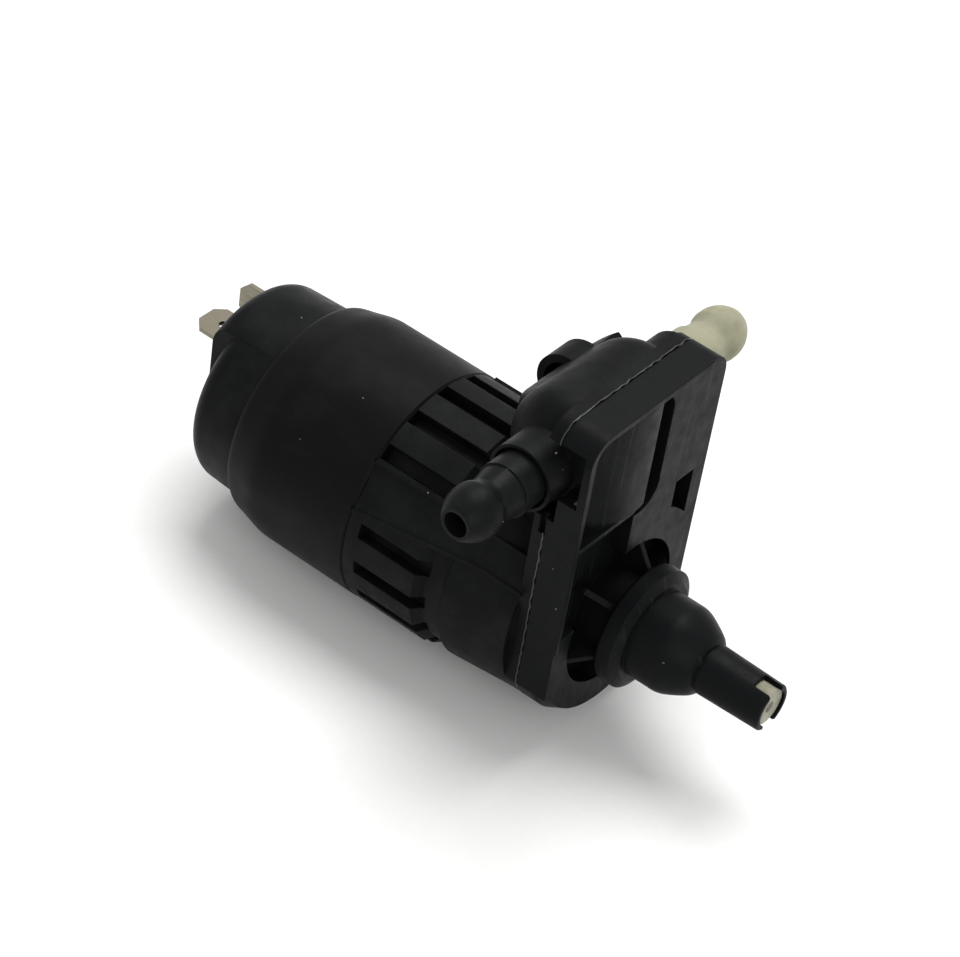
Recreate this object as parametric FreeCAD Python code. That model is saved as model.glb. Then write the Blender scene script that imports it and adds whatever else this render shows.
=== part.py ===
import FreeCAD, Part
import math
import os

# Windshield washer pump with two outlets. Millimetres, +Z up.
# The X axis is the motor, impeller and inlet axis, pointing at the tank.
# X = 0 is the front face of the inlet collar, which seats on the tank grommet.
# The dark outlet points to -Y and the pale outlet to +Y.
V = FreeCAD.Vector
X_AXIS = V(1, 0, 0)
Y_AXIS = V(0, 1, 0)
ORIGIN = V(0, 0, 0)

# Fits
slip_gap = 0.05          # radial gap where one fixed piece slides into another
run_gap = 0.03           # radial gap of the running bushes
blade_gap = 0.05         # gap round a terminal in its slot

# Stations along the motor axis
sleeve_front_x = -42.3
sleeve_rear_x = -66.3
land_end_x = -28.3
chamber_rear_x = -25.0
flange_rear_x = -13.5
seam_x = -11.6
cover_face_x = -6.3
bell_end_x = 9.9
tube_end_x = 21.0

# Radii about the motor axis, from the motor can outwards
can_r = 15.2
can_wall = 0.9
barrel_wall = 1.15
sleeve_wall = 2.6
land_drop = 0.1          # the cage lies this much below the rubber sleeve
slot_floor = 0.3         # cage left over the motor tube under each groove
barrel_r = can_r + slip_gap + barrel_wall
sleeve_r = barrel_r + sleeve_wall
land_r = sleeve_r - land_drop
slot_root_r = barrel_r + slot_floor
ring_groove_depth = 1.4
ring_groove_r = land_r - ring_groove_depth
chamber_step = 0.6
chamber_draft = 0.9
chamber_rear_r = land_r - chamber_step
chamber_front_r = chamber_rear_r - chamber_draft
chamber_edge = 0.4
shoulder_length = 7.0
shoulder_knee = (1.9, 1.0)
sleeve_lip = 0.5
sleeve_edge = 0.4

# Ribbed cage
slot_width = 2.5
upper_slot_pitch = 20.0
upper_slots_each_side = 2
lower_slot_pitch = 20.6
lower_slots_each_side = 5
cage_ring_length = 2.1   # closed ring beside the sleeve, under the lower slots
land_chamfer = 1.2

# Flat side panels
panel_angle = 148.0      # direction of the panel's normal, from +Y towards +Z
panel_top_angle = 135.0
panel_low_rear_angle = 161.0
panel_low_front_angle = 152.0
panel_sink = 0.45        # depth of the flat below the round cage
panel_flat_r = land_r - panel_sink
panel_depth = 2.85
panel_taper_end_x = -20.0
panel_front_x = -13.0
panel_lip = 0.35
panel_lip_width = 0.5

# Plate outline shared by the flange and the cover
plate_side_cut = 1.7     # how far the flat sides cut into the round foot
plate_foot_r = chamber_front_r
plate_half = plate_foot_r - plate_side_cut
plate_top_z = 40.0
plate_corner_r = 4.0
plate_foot_round = 1.1   # the foot's front edge is drawn in by this
seam_groove = 0.25

# Valve chamber
valve_x = -15.85
valve_y = 0.75
valve_z = 29.5
drum_r = 8.7
drum_half = 13.0
drum_end_round = 6.0
saddle_low_z = 12.0
saddle_foot_z = 24.5
saddle_meet_angle = 145.0
saddle_bulge = 1.1
saddle_half = 12.2
saddle_plan = (-15.9, 3.0, 12.7)     # x, y and radius of the saddle's round plan
saddle_round = 2.4
valve_cavity_r = 5.6
valve_cavity_half = 10.2
hood_r = 5.15            # sleeve of the housing round each nozzle
hood_wall = 0.5
hood_end = 18.15
hood_depth = 2.0
rear_lug_r = 4.9
rear_lug_x = -24.2
rear_lug_z = 28.9
rear_lug_y = (3.4, 8.6)
rear_lug_pocket = 2.6
rear_lug_wall = 1.3

# Hollows in the plate beside each nozzle
hollow_inner_y = 12.3
hollow_z = (24.0, 37.2)
hollow_front_x = -10.3
hollow_deep_z = 28.2     # above this height the hollow runs on into the cover

# Outlet nozzles, measured outwards from the valve's middle
nozzle_plug_r = 3.35
nozzle_bore_r = 1.93
nozzle_seat = 1.9        # inner end beside the diaphragm
nozzle_seat_r = 3.3
nozzle_plug_start = 12.4
nozzle_root_r = 4.2
nozzle_root = 21.85
nozzle_step = 0.25
nozzle_neck_r = 3.48
nozzle_neck = 25.0
nozzle_ring = 27.4
nozzle_ring_r = 4.15
nozzle_ring_land = 0.5
nozzle_tip = 31.95
nozzle_tip_r = 2.8
nozzle_tip_round = 0.35

# Diaphragm
diaphragm_r = 6.4
diaphragm_web = 0.8
diaphragm_bead = 2.0
diaphragm_bead_width = 0.9

# Pump chamber, bulkhead and shaft seal
chamber_back_x = -22.6
chamber_bore_r = 13.0
chamber_cover_recess = 0.8
bulkhead_rear_x = -30.3
seal_r = 4.5
seal_rear_x = -25.6
seal_front_x = -23.2
shaft_hole_r = 1.7
passage_width = 4.2
passage_inner_y = 3.4
passage_rear_x = -20.4
passage_front_x = -13.6
passage_low_z = 10.6
passage_high_z = 27.0

# Cover face
rim_width = 0.9
rim_rise = 0.35
face_recess = 2.0
divider_y = (0.4, 3.6)
divider_depth = 2.0
divider_straight_z = (23.6, 35.6)
divider_end_z = (19.0, 39.6)
divider_tips = ((-2.6, 19.2), (-4.4, 39.2))      # y and z of the points where its two ends curl to
left_pad_y = -13.3
left_pad_z = (20.4, 38.9)
left_pad_round_r = 16.0
left_pad_crest_y = -2.2
left_pad_rise = 0.3
right_pad_low_z = 19.4
window_y = (8.6, 12.8)
window_depth = 3.6
bridge_r = 17.0
moat_r = 11.9
moat_depth = 3.0
pocket_y = (-14.7, -1.4)
pocket_z = (3.6, 19.6)
gusset_thickness = 0.9
gusset_angles = (75.0, 135.0, 195.0, 255.0, 315.0, 15.0)
seam_notch_z = (21.0, 27.6)
seam_notch_width = 0.9
seam_notch_depth = 1.1

# Inlet collar, bell and tube
collar_rear_x = -3.5
collar_rim_x = -0.9      # the rim is drawn back from the collar's face
collar_r = 9.6
collar_face_r = 8.0
collar_edge = 0.4
stem_r = 7.0             # straight wall that the tank grommet grips
stem_end_x = 4.2
bell_curve = ((6.4, 6.45), (8.3, 5.45))
tube_base_r = 3.95
tube_tip_r = 3.72
tube_line_depth = 0.25
tube_line_width = 0.35
tube_edge = 0.3
inlet_bore_r = 2.9
inlet_wide_bore_r = 4.6
inlet_step_x = 7.0
tube_slot_width = 3.0
tube_slot_depth = 3.0

# Inlet strainer
strainer_rear_x = 10.6
strainer_front_x = 20.5
strainer_wall = 0.55
strainer_windows = 4
strainer_window_width = 1.5
strainer_end_hole_r = 0.9

# End cap, rear end of the motor and its stations, all counted from the sleeve's rear edge
cap_length = 9.6
cap_overlap = 0.5
cap_round_r = 3.0
cap_draft = 0.35
cap_wall = 2.95
cap_floor_wall = 1.2
cap_face_x = sleeve_rear_x - cap_length
cap_floor_x = cap_face_x + cap_floor_wall
cap_edge_r = barrel_r - cap_draft
cap_wall_inner_r = barrel_r - cap_wall
terminal_pad = 2.7
terminal_pad_low_z = 2.4
terminal_pad_side_y = -8.2

# Motor
can_overhang = 3.2
can_open_x = sleeve_rear_x - can_overhang
can_nose_r = 4.2
can_nose_x = -27.9
shaft_r = 1.15
shaft_end_gap = 0.5
shaft_rear_x = cap_floor_x + shaft_end_gap
shaft_front_x = -13.0
bush_r = 3.0
bush_length = 4.4
front_bush_x = (can_nose_x - bush_length, can_nose_x)
carrier_thickness = 2.5
carrier_x = (can_open_x - carrier_thickness, can_open_x)
rear_bush_length = 3.6
rear_bush_x = (can_open_x - 0.5 - rear_bush_length, can_open_x - 0.5)
carrier_boss_r = 4.4
commutator_r = 3.0
commutator_length = 6.7
commutator_gap = 0.3
commutator_x = (can_open_x + commutator_gap, can_open_x + commutator_gap + commutator_length)
commutator_cut = 0.4
magnet_thickness = 3.1
magnet_overhang = 2.5
magnet_half_angle = 62.0
air_gap = 0.6
magnet_inner_r = can_r - can_wall - magnet_thickness
core_r = magnet_inner_r - air_gap
coil_end = 3.2
coil_clearance = 1.8
core_front_gap = 5.2
core_x = (commutator_x[1] + coil_clearance + coil_end, front_bush_x[0] - core_front_gap)
magnet_x = (core_x[0] - magnet_overhang, core_x[1] + magnet_overhang)
core_hub_r = 3.6
core_poles = 5
core_tooth_width = 3.6
core_shoe = 1.6
core_slot_mouth = 1.8
coil_inset = 0.35
brush_length = 3.0
brush_width = 2.6
brush_height = 3.2
brush_gap = 2.1
brush_x = can_open_x + brush_gap
arm_thickness = 0.35
arm_width = 3.4
clip_thickness = 0.5
clip_width = 4.0
clip_offset = 6.0
end_play = 0.05
spacer_r = 2.3
washer_r = 2.6

# Terminals, standard 6.3 by 0.8 blades set at right angles to each other
blade_width = 6.3
blade_thickness = 0.8
blade_reach = 18.9       # tip behind the sleeve's rear edge
blade_inside = 2.7       # root inside the cap, measured from its floor
blade_tip_x = sleeve_rear_x - blade_reach
blade_root_x = cap_floor_x + blade_inside
blade_chamfer = 1.5
blade_hole_r = 0.85
blade_hole_from_tip = 3.6
flat_blade_inset = 5.45  # the blades' middles lie this far inside the cap's wall
upright_blade_inset = (7.65, 5.85)
flat_blade_y = -2.15
flat_blade_z = cap_wall_inner_r - flat_blade_inset
upright_blade_y = cap_wall_inner_r - upright_blade_inset[0]
upright_blade_z = cap_wall_inner_r - upright_blade_inset[1]

# Impeller
impeller_gap = 1.4
impeller_r = chamber_bore_r - impeller_gap
impeller_rear_x = -21.7
impeller_disc = 1.4
impeller_front_x = -12.6
impeller_hub_r = 2.9
impeller_vanes = 6
impeller_vane_thickness = 1.3
impeller_eye_r = 4.4


def box(x, y, z):
    return Part.makeBox(x[1] - x[0], y[1] - y[0], z[1] - z[0], V(x[0], y[0], z[0]))


def xcyl(r, x0, x1, y=0.0, z=0.0):
    return Part.makeCylinder(r, x1 - x0, V(x0, y, z), X_AXIS)


def ycyl(r, y0, y1, x, z):
    return Part.makeCylinder(r, y1 - y0, V(x, y0, z), Y_AXIS)


def tube(outer, inner, x0, x1):
    return xcyl(outer, x0, x1).cut(xcyl(inner, x0 - 1, x1 + 1))


def outward(shape):
    """The shape with its faces turned outwards, whichever way its outline ran."""
    if shape.Volume < 0:
        shape.reverse()
    return shape


def ring_of(points):
    return Part.Face(Part.makePolygon(points + [points[0]]))


def prism(face, reach):
    return outward(face.extrude(reach))


def turned(points):
    """Solid turned about the motor axis from (x, r) points."""
    return outward(ring_of([V(x, 0, r) for x, r in points]).revolve(ORIGIN, X_AXIS, 360))


def turned_edges(edges, base=ORIGIN, axis=X_AXIS):
    """Solid turned from connected edges in one plane through the axis."""
    return outward(Part.Face(Part.Wire(edges)).revolve(base, axis, 360))


def turned_about_y(points, x, z):
    """Solid turned about a line along Y from (y, r) points."""
    return outward(ring_of([V(x, y, z + r) for y, r in points]).revolve(V(x, 0, z), Y_AXIS, 360))


def at_angle(shape, angle):
    """The shape turned about the motor axis; angles run from +Y towards +Z."""
    copy = shape.copy()
    copy.rotate(ORIGIN, X_AXIS, angle)
    return copy


def sector(r0, r1, x0, x1, middle, half):
    """Part of a ring between two angles."""
    face = ring_of([V(x0, r0, 0), V(x0, r1, 0), V(x1, r1, 0), V(x1, r0, 0)])
    return at_angle(outward(face.revolve(ORIGIN, X_AXIS, 2 * half)), middle - half)


def fused(shapes):
    whole = shapes[0].multiFuse(shapes[1:]) if len(shapes) > 1 else shapes[0]
    return whole.removeSplitter()


def mirrored_y(shape):
    return shape.mirror(ORIGIN, Y_AXIS)


def tongue(x0, x1, inset=0.0):
    """Plate outline: straight top with round corners, straight sides, round foot."""
    half = plate_half - inset
    top = plate_top_z - inset
    foot = plate_foot_r - inset
    low = -math.sqrt(foot ** 2 - half ** 2)
    corner = max(plate_corner_r - inset, 0.5)
    c = math.sqrt(0.5) * corner
    points = [V(x0, -half, low), V(x0, -half, top - corner), V(x0, -half + corner, top),
              V(x0, half - corner, top), V(x0, half, top - corner), V(x0, half, low)]
    left = V(x0, -half + corner - c, top - corner + c)
    right = V(x0, half - corner + c, top - corner + c)
    edges = [Part.makeLine(points[0], points[1]),
             Part.Arc(points[1], left, points[2]).toShape(),
             Part.makeLine(points[2], points[3]),
             Part.Arc(points[3], right, points[4]).toShape(),
             Part.makeLine(points[4], points[5]),
             Part.Arc(points[5], V(x0, 0, -foot), points[0]).toShape()]
    return prism(Part.Face(Part.Wire(edges)), V(x1 - x0, 0, 0))


def slot_cutters():
    """Grooves of the cage; the upper ones run out beside the sleeve."""
    cutters = []
    for k in range(-upper_slots_each_side, upper_slots_each_side + 1):
        blank = box((sleeve_front_x - 1, land_end_x + 0.4), (slot_root_r, land_r + 2),
                    (-slot_width / 2, slot_width / 2))
        cutters.append(at_angle(blank, 90 + k * upper_slot_pitch))
    for k in range(-lower_slots_each_side, lower_slots_each_side + 1):
        blank = box((sleeve_front_x + cage_ring_length, land_end_x + 0.4), (slot_root_r, land_r + 2),
                    (-slot_width / 2, slot_width / 2))
        cutters.append(at_angle(blank, 270 + k * lower_slot_pitch))
    return cutters


def side_panel():
    """Flat land on the -Y side and the cut that clears the round cage above it."""
    normal = V(0, math.cos(math.radians(panel_angle)), math.sin(math.radians(panel_angle)))
    along = V(0, -normal.z, normal.y)

    def tangent(angle):
        return panel_flat_r * math.tan(math.radians(angle - panel_angle))

    def slab(inner, outer, t_top, t_rear, t_front):
        base = [(sleeve_front_x, t_top), (panel_front_x, t_top), (panel_front_x, t_front),
                (panel_taper_end_x, t_front), (sleeve_front_x, t_rear)]
        corners = [X_AXIS * x + along * t + normal * inner for x, t in base]
        return prism(ring_of(corners), normal * (outer - inner))

    top = tangent(panel_top_angle)
    rear = tangent(panel_low_rear_angle)
    front = tangent(panel_low_front_angle)
    body = slab(panel_flat_r - panel_depth, panel_flat_r, top, rear, front)
    lips = slab(panel_flat_r - 0.1, panel_flat_r + panel_lip, top, rear, front)
    clear = slab(panel_flat_r, panel_flat_r + panel_lip + 2, top + panel_lip_width,
                 rear - panel_lip_width, front - panel_lip_width)
    return fused([body, lips.cut(clear)]), clear


def drum_with_round_ends():
    """Valve drum turned about its own axis along Y, both ends domed."""
    sq = math.sqrt(0.5)
    low = valve_y - drum_half
    high = valve_y + drum_half
    r = drum_end_round
    rim = valve_z + drum_r

    def p(y, z):
        return V(valve_x, y, z)

    edges = [Part.makeLine(p(low, valve_z), p(low, rim - r)),
             Part.Arc(p(low, rim - r), p(low + r * (1 - sq), rim - r * (1 - sq)), p(low + r, rim)).toShape(),
             Part.makeLine(p(low + r, rim), p(high - r, rim)),
             Part.Arc(p(high - r, rim), p(high - r * (1 - sq), rim - r * (1 - sq)), p(high, rim - r)).toShape(),
             Part.makeLine(p(high, rim - r), p(high, valve_z)),
             Part.makeLine(p(high, valve_z), p(low, valve_z))]
    return turned_edges(edges, V(valve_x, 0, valve_z), Y_AXIS)


def drum_saddle():
    """Sloping foot, round in plan, that carries the drum down to the cage and forward to the flange."""
    rise = math.radians(saddle_meet_angle)
    meet = V(valve_x + drum_r * math.cos(rise), 0, valve_z + drum_r * math.sin(rise))
    foot = V(land_end_x, 0, saddle_foot_z)
    chord = foot - meet
    middle = (meet + foot) * 0.5 + V(chord.z, 0, -chord.x) * (saddle_bulge / chord.Length)
    front = flange_rear_x + 0.5
    corners = [foot, V(land_end_x, 0, saddle_low_z), V(front, 0, saddle_low_z), V(front, 0, valve_z),
               V(valve_x, 0, valve_z), meet]
    edges = [Part.makeLine(a, b) for a, b in zip(corners, corners[1:])]
    edges.append(Part.Arc(meet, middle, foot).toShape())
    side = Part.Face(Part.Wire(edges))
    side.translate(V(0, valve_y - saddle_half, 0))
    block = prism(side, V(0, 2 * saddle_half, 0))
    x, y, r = saddle_plan
    plan = Part.makeCylinder(r, plate_top_z, V(x, y, 0))
    plan = plan.fuse(box((x, flange_rear_x + 1), (y - r, y + r), (0, plate_top_z))).removeSplitter()
    block = block.common(plan)

    def is_rim(edge):
        box_of = edge.BoundBox
        return box_of.XMax < valve_x - 1 and box_of.ZMin > saddle_low_z + 0.1 and box_of.YLength > 1 \
            and box_of.ZLength > 1

    rims = [e for e in block.Edges if is_rim(e)]
    return block.makeFillet(saddle_round, rims) if rims else block


def outlet_hood(way):
    """Sleeve of the housing round one nozzle, hollow at its mouth."""
    start = valve_y
    floor = valve_y + way * (hood_end - hood_depth)
    end = valve_y + way * hood_end
    inner = hood_r - hood_wall
    return turned_about_y([(start, 0), (start, hood_r), (end, hood_r), (end, inner), (floor, inner), (floor, 0)],
                          valve_x, valve_z)


def rear_lug():
    """Short hollow lug behind the drum, open towards the dark outlet."""
    lug = ycyl(rear_lug_r, rear_lug_y[0], rear_lug_y[1], rear_lug_x, rear_lug_z)
    root = box((rear_lug_x, valve_x), rear_lug_y, (rear_lug_z - rear_lug_r, rear_lug_z + rear_lug_r))
    root = root.common(ycyl(drum_r + rear_lug_wall, rear_lug_y[0], rear_lug_y[1], valve_x, valve_z))
    pocket = ycyl(rear_lug_r - rear_lug_wall, rear_lug_y[0] - 1, rear_lug_y[0] + rear_lug_pocket,
                  rear_lug_x, rear_lug_z)
    pocket = pocket.cut(ycyl(drum_r, 0, 20, valve_x, valve_z))
    return fused([lug, root]).cut(pocket)


def valve_drum():
    """Domed valve chamber over the cage with both nozzle hoods and the rear lug."""
    return fused([drum_with_round_ends(), drum_saddle(), outlet_hood(-1), outlet_hood(1), rear_lug()])


def plate_hollows():
    """Hollows beside the two nozzles: a low one round the hood, a deep one above it."""
    wide = box((flange_rear_x - 1, hollow_front_x), (-plate_half - 1, -hollow_inner_y), hollow_z)
    deep = box((seam_x - 1, cover_face_x - rim_width), (-plate_half - 1, -hollow_inner_y),
               (hollow_deep_z, hollow_z[1]))
    left = fused([wide, deep])
    return [left, mirrored_y(left)]


def pump_housing():
    outer = turned([(sleeve_rear_x + cap_overlap, 0), (sleeve_rear_x + cap_overlap, barrel_r),
                    (sleeve_front_x, barrel_r), (sleeve_front_x, land_r), (land_end_x - land_chamfer, land_r),
                    (land_end_x, ring_groove_r), (chamber_rear_x, ring_groove_r),
                    (chamber_rear_x, chamber_rear_r - chamber_edge), (chamber_rear_x + chamber_edge, chamber_rear_r),
                    (flange_rear_x, chamber_front_r), (flange_rear_x, 0)])
    panel, clear = side_panel()
    body = outer.cut(fused(slot_cutters())).cut(clear).cut(mirrored_y(clear))
    hollows = plate_hollows()
    flange = tongue(flange_rear_x, seam_x)
    beyond = box((seam_x, 0), (-plate_half - slip_gap, plate_half + slip_gap), (saddle_low_z, plate_top_z + 2))
    for hollow in hollows:
        flange = flange.cut(hollow)
        beyond = beyond.cut(hollow)
    body = fused([body, panel, mirrored_y(panel), valve_drum().cut(beyond), flange])
    cuts = [xcyl(can_r + slip_gap, sleeve_rear_x - 1, bulkhead_rear_x),
            xcyl(can_nose_r + slip_gap, bulkhead_rear_x - 0.5, can_nose_x),
            xcyl(shaft_hole_r, can_nose_x - 0.5, seal_rear_x + 0.5),
            xcyl(seal_r, seal_rear_x, chamber_back_x + 0.5),
            xcyl(chamber_bore_r, chamber_back_x, seam_x + 1),
            ycyl(valve_cavity_r, valve_y - valve_cavity_half, valve_y + valve_cavity_half, valve_x, valve_z),
            ycyl(nozzle_plug_r, valve_y - hood_end - 1, valve_y + hood_end + 1, valve_x, valve_z),
            ycyl(diaphragm_r + slip_gap, valve_y - diaphragm_bead / 2, valve_y + diaphragm_bead / 2,
                 valve_x, valve_z)]
    for way in (-1, 1):
        inner = valve_y + way * passage_inner_y
        edges = sorted((inner, inner + way * passage_width))
        cuts.append(box((passage_rear_x, passage_front_x), edges, (passage_low_z, passage_high_z)))
    notch = box((seam_x - seam_notch_width, seam_x + 1), (-plate_half - 1, -plate_half + seam_notch_depth),
                seam_notch_z)
    body = body.cut(fused(cuts)).cut(notch)
    return body


def inlet_body():
    """Collar, bell and tube of the inlet as one turned form."""
    groove_r = tube_base_r - tube_line_depth
    bell_points = [V(stem_end_x, 0, stem_r)] + [V(x, 0, r) for x, r in bell_curve] + [V(bell_end_x, 0, groove_r)]
    bell = Part.BSplineCurve()
    bell.interpolate(bell_points, InitialTangent=V(1, 0, 0), FinalTangent=V(0.25, 0, -1))
    rear = [V(seam_x, 0, 0), V(seam_x, 0, stem_r), V(collar_rear_x, 0, stem_r),
            V(collar_rear_x, 0, collar_r - collar_edge), V(collar_rear_x + collar_edge, 0, collar_r),
            V(collar_rim_x, 0, collar_r), V(0, 0, collar_face_r), V(0, 0, stem_r), bell_points[0]]
    line_x = bell_end_x + tube_line_width
    front = [bell_points[-1], V(line_x, 0, groove_r), V(line_x, 0, tube_base_r),
             V(tube_end_x - tube_edge, 0, tube_tip_r), V(tube_end_x, 0, tube_tip_r - tube_edge),
             V(tube_end_x, 0, 0), V(seam_x, 0, 0)]
    edges = [Part.makeLine(a, b) for a, b in zip(rear, rear[1:])]
    edges.append(bell.toShape())
    edges += [Part.makeLine(a, b) for a, b in zip(front, front[1:])]
    return turned_edges(edges)


def left_pad():
    """Low crowned pad in the hollow left of the divider."""
    crest = Part.makeCylinder(left_pad_round_r, left_pad_z[1] - left_pad_z[0],
                              V(cover_face_x + left_pad_rise - left_pad_round_r, left_pad_crest_y, left_pad_z[0]))
    return crest.common(box((cover_face_x - face_recess - 0.2, cover_face_x + 2),
                            (left_pad_y, divider_y[0]), left_pad_z))


def divider_groove():
    """Groove between the two pads; both its ends curl towards the dark outlet and narrow to a point."""
    x = cover_face_x - divider_depth
    inner, outer = divider_y
    shapes = [box((x, cover_face_x + 2), divider_y, divider_straight_z)]
    for start, end, tip, way in zip(divider_straight_z, divider_end_z, divider_tips, (-1, 1)):
        point = V(x, tip[0], tip[1])
        turn = V(x, inner - 1.0, end)
        bend = Part.BSplineCurve()
        bend.interpolate([point, V(x, inner, start)], InitialTangent=V(0, 1, -0.25 * way),
                         FinalTangent=V(0, 0, -way))
        edges = [Part.makeLine(V(x, inner, start), V(x, outer, start)),
                 Part.Arc(V(x, outer, start), V(x, outer - 1.2, end - way), turn).toShape(),
                 Part.makeLine(turn, point), bend.toShape()]
        shapes.append(prism(Part.Face(Part.Wire(edges)), V(divider_depth + 2, 0, 0)))
    return fused(shapes)


def cover_face_cuts():
    """Hollows of the cover's front face between the rim, the two pads, the bridge and the moat."""
    floor = cover_face_x - face_recess
    inside = tongue(floor, cover_face_x + 1, rim_width)
    upper = box((floor - 1, cover_face_x + 2), (-plate_half, divider_y[0]), (left_pad_z[0], plate_top_z))
    hollow = inside.common(upper).cut(left_pad())
    window = box((cover_face_x - window_depth, cover_face_x + 2), window_y, (5, right_pad_low_z))
    window = window.cut(xcyl(bridge_r, seam_x, cover_face_x + 3))
    moat = tube(moat_r, stem_r, cover_face_x - moat_depth, cover_face_x + 2)
    pocket = box((cover_face_x - moat_depth, cover_face_x + 2), pocket_y, pocket_z)
    pocket = pocket.common(tongue(seam_x, cover_face_x + 3, rim_width)).cut(xcyl(stem_r, seam_x, 1))
    return [hollow, divider_groove(), window, moat, pocket]


def raised_rim():
    """Low ridge along the top and the -Y side of the cover's face."""
    ridge = tongue(cover_face_x - 0.5, cover_face_x + rim_rise)
    ridge = ridge.cut(tongue(cover_face_x - 1, cover_face_x + rim_rise + 1, rim_width))
    return ridge.common(box((cover_face_x - 1, cover_face_x + 1), (-plate_half, plate_half - plate_corner_r),
                            (plate_side_cut, plate_top_z)))


def cover_edge_cuts():
    """Groove along the seam, and the foot's drawn-in front edge."""
    groove = tongue(seam_x - 1, seam_x + seam_groove).cut(tongue(seam_x - 2, seam_x + 1, seam_groove))
    foot = plate_foot_r
    below = box((seam_x, cover_face_x + 1), (-foot, foot), (-foot - 1, -math.sqrt(foot ** 2 - plate_half ** 2)))
    kept = turned([(seam_x - 1, 0), (seam_x - 1, foot), (cover_face_x - 2 * plate_foot_round, foot),
                   (cover_face_x, foot - plate_foot_round), (cover_face_x + 2, foot - plate_foot_round),
                   (cover_face_x + 2, 0)])
    return [groove, below.cut(kept)]


def gussets():
    """Thin webs between the inlet stem and the wall of the moat."""
    ribs = []
    floor = cover_face_x - moat_depth
    for angle in gusset_angles:
        corners = [V(floor - 0.2, stem_r - 0.3, 0), V(floor - 0.2, moat_r + 0.3, 0),
                   V(cover_face_x - 1.0, moat_r + 0.3, 0), V(collar_rear_x + 0.2, stem_r + 0.8, 0),
                   V(collar_rear_x + 0.2, stem_r - 0.3, 0)]
        web = prism(ring_of(corners), V(0, 0, gusset_thickness))
        web.translate(V(0, 0, -gusset_thickness / 2))
        ribs.append(at_angle(web, angle))
    return ribs


def front_cover():
    plate = tongue(seam_x, cover_face_x)
    for cut in [fused(cover_face_cuts())] + cover_edge_cuts() + plate_hollows():
        plate = plate.cut(cut)
    whole = fused([plate, raised_rim(), left_pad(), inlet_body()] + gussets())
    cuts = [xcyl(chamber_bore_r, seam_x - 1, seam_x + chamber_cover_recess),
            xcyl(inlet_wide_bore_r, seam_x - 1, inlet_step_x),
            xcyl(inlet_bore_r, seam_x - 1, tube_end_x + 1),
            box((tube_end_x - tube_slot_depth, tube_end_x + 1), (-tube_slot_width / 2, tube_slot_width / 2),
                (-tube_base_r - 1, tube_base_r + 1)),
            ycyl(valve_cavity_r, valve_y - valve_cavity_half, valve_y + valve_cavity_half, valve_x, valve_z),
            ycyl(diaphragm_r + slip_gap, valve_y - diaphragm_bead / 2, valve_y + diaphragm_bead / 2,
                 valve_x, valve_z),
            ycyl(nozzle_plug_r, valve_y - drum_half, valve_y + drum_half, valve_x, valve_z)]
    return whole.cut(fused(cuts))


def outlet_nozzle(way):
    """Nozzle with a smooth olive barb; its plug is pressed into the hood, its inner end the diaphragm's seat."""
    def p(s, r):
        return V(valve_x, valve_y + way * s, valve_z + r)

    floor = hood_end - hood_depth
    out = V(0, way, 0)
    land = nozzle_ring + nozzle_ring_land
    tip = nozzle_tip - nozzle_tip_round
    rise = Part.BSplineCurve()
    rise.interpolate([p(nozzle_neck, nozzle_neck_r), p(nozzle_ring, nozzle_ring_r)],
                     InitialTangent=out, FinalTangent=out)
    fall = Part.BSplineCurve()
    fall.interpolate([p(land, nozzle_ring_r), p(tip, nozzle_tip_r)], InitialTangent=out,
                     FinalTangent=V(0, way, -0.7))
    inner = [p(nozzle_tip, nozzle_tip_r - nozzle_tip_round), p(nozzle_tip, nozzle_bore_r),
             p(nozzle_seat, nozzle_bore_r), p(nozzle_seat, nozzle_seat_r), p(nozzle_plug_start, nozzle_plug_r),
             p(floor, nozzle_plug_r), p(floor, nozzle_root_r), p(nozzle_root, nozzle_root_r),
             p(nozzle_root, nozzle_root_r - nozzle_step), p(nozzle_neck, nozzle_neck_r)]
    edges = [rise.toShape(), Part.makeLine(p(nozzle_ring, nozzle_ring_r), p(land, nozzle_ring_r)), fall.toShape(),
             Part.makeLine(p(tip, nozzle_tip_r), inner[0])]
    edges += [Part.makeLine(a, b) for a, b in zip(inner, inner[1:])]
    return turned_edges(edges, V(valve_x, 0, valve_z), Y_AXIS)


def valve_diaphragm():
    web = ycyl(diaphragm_r - 0.2, valve_y - diaphragm_web / 2, valve_y + diaphragm_web / 2, valve_x, valve_z)
    bead = ycyl(diaphragm_r, valve_y - diaphragm_bead / 2, valve_y + diaphragm_bead / 2, valve_x, valve_z)
    bead = bead.cut(ycyl(diaphragm_r - diaphragm_bead_width, -5, 5, valve_x, valve_z))
    return fused([web, bead])


def inlet_strainer():
    r = inlet_bore_r
    shell = tube(r, r - strainer_wall, strainer_rear_x, strainer_front_x)
    end = tube(r, strainer_end_hole_r, strainer_front_x - 0.6, strainer_front_x)
    whole = fused([shell, end])
    for k in range(strainer_windows):
        window = box((strainer_rear_x + 2, strainer_front_x - 2.4), (0, r + 1),
                     (-strainer_window_width / 2, strainer_window_width / 2))
        whole = whole.cut(at_angle(window, 45 + k * 360.0 / strainer_windows))
    return whole


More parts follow.
